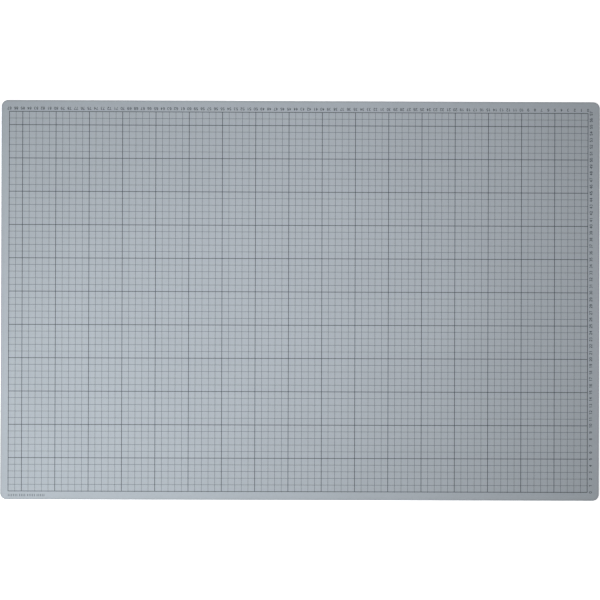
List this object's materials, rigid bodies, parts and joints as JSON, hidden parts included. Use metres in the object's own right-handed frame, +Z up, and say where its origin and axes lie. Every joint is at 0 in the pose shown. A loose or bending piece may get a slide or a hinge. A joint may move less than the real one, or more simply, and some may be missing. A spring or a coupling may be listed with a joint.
{
  "type": "self healing cutting mat",
  "caption": "Flat grey laminated cutting mat with rounded corners, a printed centimetre grid with heavier five-centimetre lines, and number scales along one long and one short side.",
  "frame": {"origin": "centre of the underside, on the surface that the mat lies on", "axes": "+X along the long side towards the side scale, +Y along the short side towards the long scale, +Z up out of the printed face"},
  "size_m": [0.9, 0.6, 0.003],
  "materials": {
    "healing_vinyl": "matte",
    "bond_vinyl": "matte",
    "core_sheet": "satin",
    "print_ink": "matte"
  },
  "bodies": {
    "root": {"top_healing_ply": "healing_vinyl", "upper_bond_ply": "bond_vinyl", "core_ply": "core_sheet", "lower_bond_ply": "bond_vinyl", "bottom_healing_ply": "healing_vinyl", "border_print": "print_ink", "five_cm_lines_across": "print_ink", "five_cm_lines_along": "print_ink", "one_cm_lines_across": "print_ink", "one_cm_lines_along": "print_ink", "long_scale_numerals": "print_ink", "side_scale_numerals": "print_ink", "corner_mark_print": "print_ink"}
  },
  "joints": []
}
